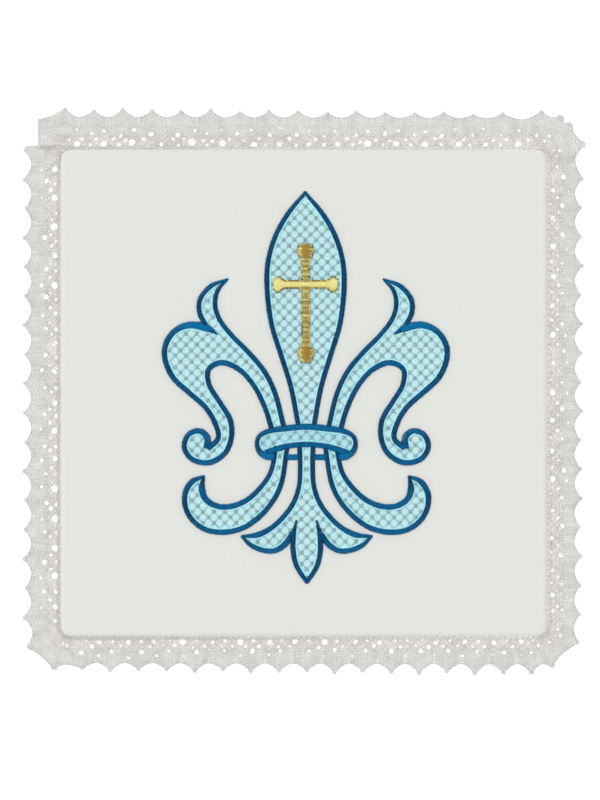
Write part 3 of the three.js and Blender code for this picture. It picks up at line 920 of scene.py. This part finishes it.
class PallEmbroidery(bpy.types.PropertyGroup):
    """The blue outline, the net filling and the gold cross."""

    stitch: length_property("Stitch pitch", "Distance from stitch to stitch in the satin", 0.4)
    high: length_property("Padding height", "How far the satin stands over the linen", 0.8)
    # navy and blue are the painted shaded and painted bright sides of one satin, mixed per stitch by the
    # outline's painted sheen
    navy: colour_property("Outline, shaded", "Blue of the satin across the light", (0.001, 0.041, 0.108))
    blue: colour_property("Outline, bright", "Blue of the satin along the light", (0.003, 0.18, 0.42))
    net: colour_property("Net thread", "Light blue of the net", (0.40, 0.74, 0.86))
    net_pale: colour_property("Net ground", "Pale blue of the stitches under the net", (0.61, 0.97, 1.0))
    knot: colour_property("Net crossings", "Grey green of the small crossing stitches", (0.42, 0.64, 0.64))
    # gold, gold_mid and gold_deep carry painted light: the bar's tone reaches the bright gold as painted sheen,
    # the shaft stays olive, and the buds' middles are painted deeper towards orange
    gold: colour_property("Gold, bright", "Gold thread along the light", (1.0, 0.88, 0.31))
    gold_mid: colour_property("Gold, middle", "Olive gold across the light", (0.36, 0.28, 0.06))
    gold_deep: colour_property("Gold, shaded", "Orange gold in the middle of the buds", (0.44, 0.23, 0.0))


class PallStage(bpy.types.PropertyGroup):
    """Floor, light and camera."""

    floor: colour_property("Floor", "Colour of the floor", (0.93, 0.93, 0.93))
    glow: number_property("Floor glow", "Light from under the white floor", 0.45)
    key: number_property("Key light", "Strength of the key light", 0.9)
    fill: number_property("Fill light", "Strength of the light all round", 0.8)
    lens: number_property("Lens", "Focal length in millimetres", 120.0)


def square_rim(side, corner, inset, along, round_steps):
    """A square with round corners, drawn inset from its edge, as a closed line.

    Each quarter is an arc about its corner's middle, then a straight run in even steps.
    """
    reach = side / 2 - corner
    turn = np.linspace(0, np.pi / 2, round_steps + 1)
    arc = reach + (corner - inset) * np.stack([np.cos(turn), np.sin(turn)], axis=1)
    run = np.linspace(reach, -reach, along + 2)[1:-1]
    quarter = np.concatenate([arc, np.stack([run, np.full(along, side / 2 - inset)], axis=1)])
    quarter_turn = np.array([[0.0, 1.0], [-1.0, 0.0]])
    return np.concatenate([quarter @ np.linalg.matrix_power(quarter_turn, k) for k in range(4)])


def linen_surface(side, thick, edge):
    """The stiff square as rings from the middle of its face, over the soft edge, to the underside.

    On the faces a ring is the rim scaled by its share; round the edge the rim is inset by the edge
    radius times one minus the sine of the turn, and sinks by the radius times one minus the cosine.
    The lower half mirrors the upper one, and the face has a faint wave.
    """
    along, round_steps = 48, 6
    turns = np.linspace(0, np.pi / 2, 7)[1:]
    rim = square_rim(side, PANEL_CORNER, edge, along, round_steps)
    count = len(rim)
    flat = [rim * share for share in np.linspace(0.04, 1, 26)]
    flat += [square_rim(side, PANEL_CORNER, edge * (1 - math.sin(turn)), along, round_steps) for turn in turns]
    sunk = np.r_[np.zeros(26), edge * (1 - np.cos(turns))]
    flat = np.stack([*flat, *flat[::-1]])
    height = np.r_[thick - sunk, sunk[::-1]][:, None]
    slope = np.clip(np.hypot(flat[..., 0], flat[..., 1]) / side, 0, 1)
    soft = 0.035 * np.sin(flat[..., 0] / 6.1 + 0.7) * np.sin(flat[..., 1] / 7.9)
    height = height + np.where(height > thick / 2, soft * slope, 0)
    wander = 1 + 0.0007 * np.sin(flat[..., 1] / 11.0 + 1.3) * np.sin(flat[..., 0] / 13.0)
    points = raised(flat * wander[..., None], height).reshape(-1, 3)
    here = np.arange(count)
    there = (here + 1) % count
    top, under, last = len(points), len(points) + 1, len(points) - count
    face = np.stack([np.full(count, top), here, there], axis=1)
    back = np.stack([np.full(count, under), last + there, last + here], axis=1)
    points = np.concatenate([points, [[0, 0, thick], [0, 0, 0]]])
    return points, ring_walls(np.arange(len(flat) - 1), count), np.concatenate([face, back])


class PALL_OT_linen(bpy.types.Operator):
    """Make the stiff linen square"""

    bl_idname = "pall.linen"
    bl_label = "Linen square"

    def execute(self, context):
        linen = context.scene.pall_linen
        points, quads, triangles = linen_surface(linen.side / MM, linen.thick / MM, linen.edge / MM)
        material = linen_material(tuple(linen.colour), linen.thread)
        square = make_piece("linen_square", points, quads, material, triangles=triangles)
        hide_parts("linen_panel")
        return {"FINISHED"}


class PALL_OT_lace(bpy.types.Operator):
    """Make the lace edging from its threads, and the stitches that hold it to the linen"""

    bl_idname = "pall.lace"
    bl_label = "Lace edging"

    # hem stitches: pitch and stray along, from how far out to how far in, slant, radius
    hem = {"pitch": 1.75, "stray": 0.15, "out": 0.95, "in": -1.0, "slant": 0.5, "radius": 0.15}

    def execute(self, context):
        lace = context.scene.pall_lace
        strip = Strip()
        threads = lace_threads(strip, lace.thread / MM)
        warm = {"roughness": 0.8, "twist": 1.1, "groove": 0.2, "specular_ior_level": 0.25, "mottle": 1.1,
                "sheen_weight": 0.2}
        cotton, fan_cotton = (
            thread_material(name, scaled(lace.deep, *tint), scaled(lace.pale, *tint), **warm)
            for name, tint in (("lace_cotton", (1.0,)), ("lace_fan_cotton", (0.985, 1.01, 1.0)))
        )
        shade = np.random.default_rng(9)

        def laid(kind, material, low, high, lean=(0.0, 0.0)):
            """One kind of threads as a piece, each with its tone, which may lean right and to the top as
            painted light.
            """
            lines, wide = zip(*threads[kind])
            points, run = runs_of(lines)
            tone = shade.uniform(low, high, len(lines))[run]
            tone = tone + np.clip(points[:, :2] / (PANEL_SIDE / 2), -1, 1) @ np.array(lean)
            return thread_piece("lace_" + kind, lines, np.concatenate(wide), material, tone)

        ground = laid("ground", cotton, 0.1, 0.95)
        fans = laid("fans", fan_cotton, 0.3, 0.75)
        rim = laid("rim", fan_cotton, 0.1, 0.6)
        # painted light: the foot is painted paler to the right and to the top, against the shade at the panel's
        # edge there
        foot = laid("foot", cotton, 0.3, 0.75, (0.35, 0.1))
        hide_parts("lace_edging")
        hem = self.hem_stitches(strip, cotton)
        return {"FINISHED"}

    def hem_stitches(self, strip, cotton):
        """Slanting stitches from the foot of the lace, over the panel's soft edge, into the linen."""
        rng = np.random.default_rng(3)
        places = np.arange(1.2, strip.length - LAP["long"], self.hem["pitch"])
        places = places + rng.normal(0, self.hem["stray"], len(places))
        foot, way = strip.spoke(strip.step_at(places))
        q = np.linspace(0, 1, 6)
        out = self.hem["out"] + (self.hem["in"] - self.hem["out"]) * q
        flat = way[:, None, :] * out[:, None] + left_of(way)[:, None, :] * (self.hem["slant"] * q)[:, None]
        stitches = raised(foot[:, None, :] + flat, 0.85 + 1.35 * q**1.3 + 0.35 * np.sin(np.pi * q))
        # painted shade: the hem stitches are painted darker towards the panel's right edge
        tone = 0.6 - 0.2 * foot[:, 0] / (PANEL_SIDE / 2) + rng.uniform(-0.25, 0.25, len(stitches))
        return thread_piece("hem_stitches", list(stitches), self.hem["radius"], cotton, tone)


class PALL_OT_outline(bpy.types.Operator):
    """Make the blue satin outline, stitch by stitch"""

    bl_idname = "pall.outline"
    bl_label = "Blue satin outline"

    slant = 0.16
    thread_high = 0.11
    # painted sheen: these settings paint stitches across level strokes, and wide stitches, brighter
    tone = {"least": 0.12, "level": 0.5, "wide_from": 1.75, "per_wide": 0.75, "most_wide": 0.6, "stray": 0.09}

    def execute(self, context):
        work = context.scene.pall_embroidery
        rng = np.random.default_rng(21)
        pitch, high = work.stitch / MM, work.high / MM - 0.1
        parts = []
        for line, widths, _, layer in all_strokes():
            middle, way, width = even_line(on_axis(line), pitch, widths)
            base = PANEL_THICK + layer
            points, run, across, _ = satin_stitches(middle, way, width, high, self.slant, rng, base)
            surface, quads, uv = thread_surface(points, run, SATIN_COVER * pitch, self.thread_high, across)
            tone = np.clip(self.tones(way, width, rng), 0, 1)
            parts.append((surface, quads, np.repeat(tone[run], THREAD_SIDES), uv))
        points, quads, tone, uv = joined(parts)
        blue = thread_material("blue_rayon", tuple(work.navy), tuple(work.blue), 0.36, 0.8, groove=0.25,
                               specular_ior_level=0.35, specular_tint=(0.12, 0.5, 1.0, 1.0))
        outline = make_piece("blue_outline", points, quads, blue, tone, uv)
        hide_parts("blue_satin_outline")
        return {"FINISHED"}

    def tones(self, way, width, rng):
        """A tone for each stitch, as painted sheen: stitches across a level line, and wide ones, are painted
        brighter.
        """
        wide = np.clip((width - self.tone["wide_from"]) * self.tone["per_wide"], 0, self.tone["most_wide"])
        level = self.tone["level"] * way[:, 0] ** 2
        return self.tone["least"] + level + wide + rng.normal(0, self.tone["stray"], len(width))


class PALL_OT_net(bpy.types.Operator):
    """Make the light blue net that fills the motif"""

    bl_idname = "pall.net"
    bl_label = "Net filling"

    pitch = 3.36
    rise = 1.71
    top = PANEL_THICK
    # Columns: shortest thread, distance between its points, radius, how flat.
    net_thread = (0.8, 0.6, 0.2, 0.8)
    ground_thread = (0.5, 1.1, 0.2, 0.35)
    ground_pitch = 0.42
    knot_thread = {"half": 0.46, "high": 0.42, "radius": 0.27, "flat": 0.7, "clear": 0.35, "stray": 0.05}
    edge_thread = {"pitch": 0.7, "beside": 0.2, "from_width": 1.2, "radius": 0.33, "flat": 0.8}

    def execute(self, context):
        work = context.scene.pall_embroidery
        rng = np.random.default_rng(8)
        tilt = math.atan2(self.rise, self.pitch / 2)
        spacing = self.pitch * math.sin(tilt)
        net, ground, ground_tones, knots = [], [], [], []
        for name, (outline, row_y) in fill_outlines().items():
            # a crossing stands half a pitch off the axis on the row at row_y
            mark = np.array([self.pitch / 2, row_y])
            for lean in (1, -1):
                angle = lean * tilt
                phase = float(mark @ [-math.sin(angle), math.cos(angle)]) % spacing
                for flat in self.runs(hatch(outline, angle, spacing, phase), self.net_thread):
                    rows = (flat[:, 1] - row_y) / self.rise
                    net.append(raised(on_axis(flat), self.top + 0.2 + 0.1 * lean * np.cos(np.pi * rows)))
            for flat in self.runs(hatch(outline, 0.0, self.ground_pitch, 0.1), self.ground_thread):
                flat = flat + rng.normal(0, 0.015, flat.shape) * [0, 1]
                lift = 0.02 + 0.03 * np.cos(np.pi * np.arange(len(flat)) + rng.uniform(0, 3))
                ground.append(raised(on_axis(flat), self.top + lift))
                ground_tones.append(0.0 if name == "band" else rng.uniform(0.8, 1.0))
            knots.append(self.crossings(outline, row_y))
        size = self.knot_thread
        knots = self.clear_of_strokes(np.concatenate(knots), size["clear"])
        knots = on_axis(knots + rng.normal(0, size["stray"], knots.shape))
        q = np.linspace(-1, 1, 5)
        stitches = []
        for turn, over in ((0.0, 0.0), (math.pi / 2, 0.06)):
            ends = np.array([math.cos(turn), math.sin(turn)]) * size["half"]
            lift = 0.1 + size["high"] * np.sqrt(np.maximum(1 - q**2, 0)) + over
            stitches.extend(raised(knots[:, None, :] + ends * q[:, None], self.top + lift))

        net_colour, net_pale, knot_colour = (tuple(colour) for colour in (work.net, work.net_pale, work.knot))
        band_pale, edge_pale = scaled(net_pale, 0.66, 0.92, 1.0), scaled(net_pale, 0.8, 0.96, 1.0)
        rayon = thread_material("net_rayon", scaled(net_colour, 0.8), net_colour, 0.4, 0.9, groove=0.2)
        pale = thread_material("net_ground_rayon", band_pale, net_pale, 0.6, 0.9, groove=0.05)
        knot = thread_material("net_knot_rayon", scaled(knot_colour, 0.7), knot_colour, 0.5, 0.9)
        edge = thread_material("net_edge_rayon", net_colour, edge_pale, 0.38, 0.9, groove=0.08)
        edges = self.edge_lines()
        edge_tones = rng.uniform(0.7, 1.0, len(edges))
        for name, lines, (radius, flat), material, tone in (
            ("net_threads", net, self.net_thread[2:], rayon, None),
            ("net_ground_stitches", ground, self.ground_thread[2:], pale, ground_tones),
            ("net_crossings", stitches, (size["radius"], size["flat"]), knot, None),
            ("net_edge_run", edges, (self.edge_thread["radius"], self.edge_thread["flat"]), edge, edge_tones),
        ):
            thread_piece(name, lines, radius, material, tone, flat)
        return {"FINISHED"}

    def runs(self, hatched, thread):
        """The hatched lines that are long enough for this thread, as runs of points."""
        shortest, pitch, _, _ = thread
        return [between(ends, pitch) for ends in hatched if np.linalg.norm(ends[1] - ends[0]) >= shortest]

    def edge_lines(self):
        """A line close inside each stroke where it is wide enough, on the side that the net lies on."""
        lines = []
        for line, widths, inside, _ in all_strokes():
            if inside == 0:
                continue
            middle, way, width = even_line(line, self.edge_thread["pitch"], widths)
            flat = middle + left_of(way) * (inside * (width / 2 + self.edge_thread["beside"]))[:, None]
            lines.append(raised(on_axis(flat[width > self.edge_thread["from_width"]]), self.top + 0.16))
        return lines

    def clear_of_strokes(self, at, gap):
        """The places that lie at least gap outside every satin stroke."""
        clear = np.ones(len(at), bool)
        for line, widths, _, _ in all_strokes():
            away = np.linalg.norm(at[:, None, :] - line[None, :, :], axis=2) - widths / 2
            clear &= away.min(axis=1) > gap
        return at[clear]

    def crossings(self, outline, row_y):
        """Places of the net's crossings inside an outline: staggered rows, tested by ray crossing."""
        low, high = ((outline[:, 1].min() - row_y) / self.rise, (outline[:, 1].max() - row_y) / self.rise)
        rows = np.arange(math.floor(low), math.ceil(high) + 1)
        x = np.arange(-20, 21) * self.pitch + np.where(rows % 2 == 0, self.pitch / 2, 0)[:, None]
        y = np.broadcast_to((rows * self.rise + row_y)[:, None], x.shape)
        x, y = x.reshape(-1, 1), y.reshape(-1, 1)
        (start_x, start_y), (end_x, end_y) = outline.T, np.roll(outline, -1, axis=0).T
        above = (start_y > y) != (end_y > y)
        with np.errstate(divide="ignore", invalid="ignore"):
            cut = start_x + (y - start_y) / (end_y - start_y) * (end_x - start_x)
        inside = (above & (x < cut)).sum(axis=1) % 2 == 1
        return np.concatenate([x, y], axis=1)[inside]


class PALL_OT_cross(bpy.types.Operator):
    """Make the gold satin cross, stitch by stitch"""

    bl_idname = "pall.cross"
    bl_label = "Gold cross"

    # shaft and bar: tone, which paints the bar brighter than the shaft as painted sheen by stitch direction,
    # how far over the linen, stray of the tones, share of dark edge stitches
    shaft = {"tone": 0.5, "base": 0.04, "stray": 0.2, "dark": 0.3}
    bar = {"tone": 1.2, "base": 0.12, "stray": 0.08, "dark": 0.75}
    high = 0.78
    dash = np.linspace(-0.3, 0.3, 4)[:, None]
    dash_high = PANEL_THICK + np.array([0.3, 0.5, 0.5, 0.3])

    def execute(self, context):
        work = context.scene.pall_embroidery
        rng = np.random.default_rng(33)
        bar_y, bar_half = CROSS["bar_y"], CROSS["bar_long"] / 2
        # arms from the crossing: the end, how it flares, its kind, and which way its left is
        arms = [
            ((0, CROSS["foot"]), FOOT_FLARE, self.shaft, -1),
            ((0, CROSS["top"]), TOP_FLARE, self.shaft, 1),
            ((-bar_half, bar_y), BAR_FLARE, self.bar, 0),
            ((bar_half, bar_y), BAR_FLARE, self.bar, 0),
        ]
        parts, dots, dot_tones = [], [], []
        for end, flare, kind, left in arms:
            line = on_axis(np.linspace((0, bar_y), end, 40))
            middle, way, width, extra = self.arm_at(line, flare, CROSS["stitch"])
            base = PANEL_THICK + kind["base"]
            points, run, across, q = satin_stitches(middle, way, width, self.high, 0.05, rng, base, 0.018)
            surface, quads, uv = thread_surface(points, run, SATIN_COVER * CROSS["stitch"], 0.12, across)
            bud, rim = extra[run], np.abs(q)
            if left:
                # painted light across each stitch: the stitch ends are painted paler, and the buds are painted
                # darker and orange in the middle and paler on the left as a painted highlight
                tone = 0.2 * bud * q * left - 0.75 * bud * (1 - rim) + (0.4 + 0.3 * bud) * rim**2
            else:
                # painted highlight: the bar's stitch ends are painted darker, so the middle of each stitch
                # stands out bright
                tone = -(0.45 + 0.1 * bud) * rim**2.5
            drift = np.sin(np.arange(len(width)) * 1.08) * 0.8 + rng.normal(0, 0.7, len(width))
            tone = np.clip(kind["tone"] + tone + kind["stray"] * drift[run], -0.2, 1.3)
            parts.append((surface, quads, np.repeat(tone, THREAD_SIDES), uv))

            middle, way, width, _ = (each[2:] for each in self.arm_at(line, flare, CROSS["dot_pitch"]))
            for hand in (1, -1):
                at = middle + left_of(way) * (hand * (SATIN_REACH / 2 * width + 0.15))[:, None]
                for place, along in zip(at, way):
                    dots.append(raised(place + along * self.dash * rng.uniform(0.8, 1.2), self.dash_high))
                    dark = rng.uniform() < kind["dark"]
                    dot_tones.append(rng.uniform(0.0, 0.3) if dark else rng.uniform(0.6, 1.0))
        points, quads, tone, uv = joined(parts)
        gold = thread_material("gold_metal_thread", tuple(work.gold_deep), tuple(work.gold), 0.28, 0.7,
                               groove=0.08, middle=tuple(work.gold_mid), specular_ior_level=0.55, metallic=0.15)
        cross = make_piece("gold_cross", points, quads, gold, tone, uv)
        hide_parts("gold_satin_cross")
        pale_gold = scaled(work.gold, 0.85, 0.9, 1.3)
        olive = thread_material("olive_gold_thread", scaled(work.gold_mid, 0.45), pale_gold, 0.35, 0.7,
                                groove=0.25, metallic=0.15)
        thread_piece("cross_edge_run", dots, 0.25, olive, dot_tones)
        return {"FINISHED"}

    def arm_at(self, line, flare, pitch):
        """An arm's places, directions, widths and shares of flare, spaced evenly by the pitch."""
        middle, way, _ = even_line(line, pitch)
        inward = np.linalg.norm(middle - line[-1], axis=1) / flare["long"]
        extra = np.interp(inward, flare["inward"], flare["wide"])
        return middle, way, CROSS["arm_wide"] + (CROSS["flare_wide"] - CROSS["arm_wide"]) * extra, extra


class PALL_OT_stage(bpy.types.Operator):
    """Make the floor, the light and the camera straight above"""

    bl_idname = "pall.stage"
    bl_label = "Stage"

    view_height = 246.4
    look_at = (-1.2, -2.2)
    sensor = 36.0
    floor_half = 0.9
    floor_below = 0.00002
    towards_light = (-0.45, 0.3, 1.15)

    def execute(self, context):
        stage = context.scene.pall_stage
        scene = context.scene
        scene.view_settings.view_transform = "Standard"
        n = Nodes("white_floor")
        pale = tuple(stage.floor)
        n.join(n.blend(n.noise(40, 2), scaled(pale, 0.985), pale), n.shader.inputs["Base Color"])
        n.set(roughness=0.9, emission_color=(1, 1, 1, 1), emission_strength=stage.glow)
        mesh = bpy.data.meshes.new("floor")
        around = ((-1, -1), (1, -1), (1, 1), (-1, 1))
        corners = [(x * self.floor_half, y * self.floor_half, -self.floor_below) for x, y in around]
        mesh.from_pydata(corners, [], [(0, 1, 2, 3)])
        mesh.materials.append(n.material)
        floor = put("floor", mesh)

        scene.world = bpy.data.worlds.new("studio")
        scene.world.use_nodes = True
        background = scene.world.node_tree.nodes["Background"]
        background.inputs["Color"].default_value = (1, 1, 1, 1)
        background.inputs["Strength"].default_value = stage.fill

        light = bpy.data.lights.new("key", "SUN")
        light.energy = stage.key
        light.angle = math.radians(24)
        x, y, z = self.towards_light
        put("key", light).rotation_euler = (math.atan2(math.hypot(x, y), z), 0, math.atan2(x, -y))

        camera = bpy.data.cameras.new("camera")
        camera.lens = stage.lens
        camera.sensor_width = self.sensor
        camera.clip_start, camera.clip_end = 0.01, 10
        distance = self.view_height * stage.lens / self.sensor + PANEL_THICK
        scene.camera = put("camera", camera)
        scene.camera.location = in_frame([(*self.look_at, distance)])[0]
        return {"FINISHED"}


STEPS = (PALL_OT_stage, PALL_OT_linen, PALL_OT_lace, PALL_OT_net, PALL_OT_outline, PALL_OT_cross)


class PALL_PT_sidebar(bpy.types.Panel):
    """The pall's pieces and their settings"""

    bl_idname = "PALL_PT_sidebar"
    bl_label = "Chalice Pall"
    bl_space_type = "VIEW_3D"
    bl_region_type = "UI"
    bl_category = "Pall"

    def draw(self, context):
        for step in STEPS:
            self.layout.operator(step.bl_idname)
        for group in SETTINGS:
            settings = getattr(context.scene, group)
            box = self.layout.box()
            for name in settings.bl_rna.properties.keys():
                if name not in ("rna_type", "name"):
                    box.prop(settings, name)


SETTINGS = {
    "pall_linen": PallLinen,
    "pall_lace": PallLace,
    "pall_embroidery": PallEmbroidery,
    "pall_stage": PallStage,
}


def register():
    for item in (*SETTINGS.values(), *STEPS, PALL_PT_sidebar):
        bpy.utils.register_class(item)
    for name, group in SETTINGS.items():
        setattr(bpy.types.Scene, name, bpy.props.PointerProperty(type=group))


def unregister():
    for name in SETTINGS:
        delattr(bpy.types.Scene, name)
    for item in (PALL_PT_sidebar, *reversed(STEPS), *reversed(SETTINGS.values())):
        bpy.utils.unregister_class(item)


def main():
    register()
    for step in STEPS:
        group, name = step.bl_idname.split(".")
        getattr(getattr(bpy.ops, group), name)()


if __name__ == "__main__":
    main()
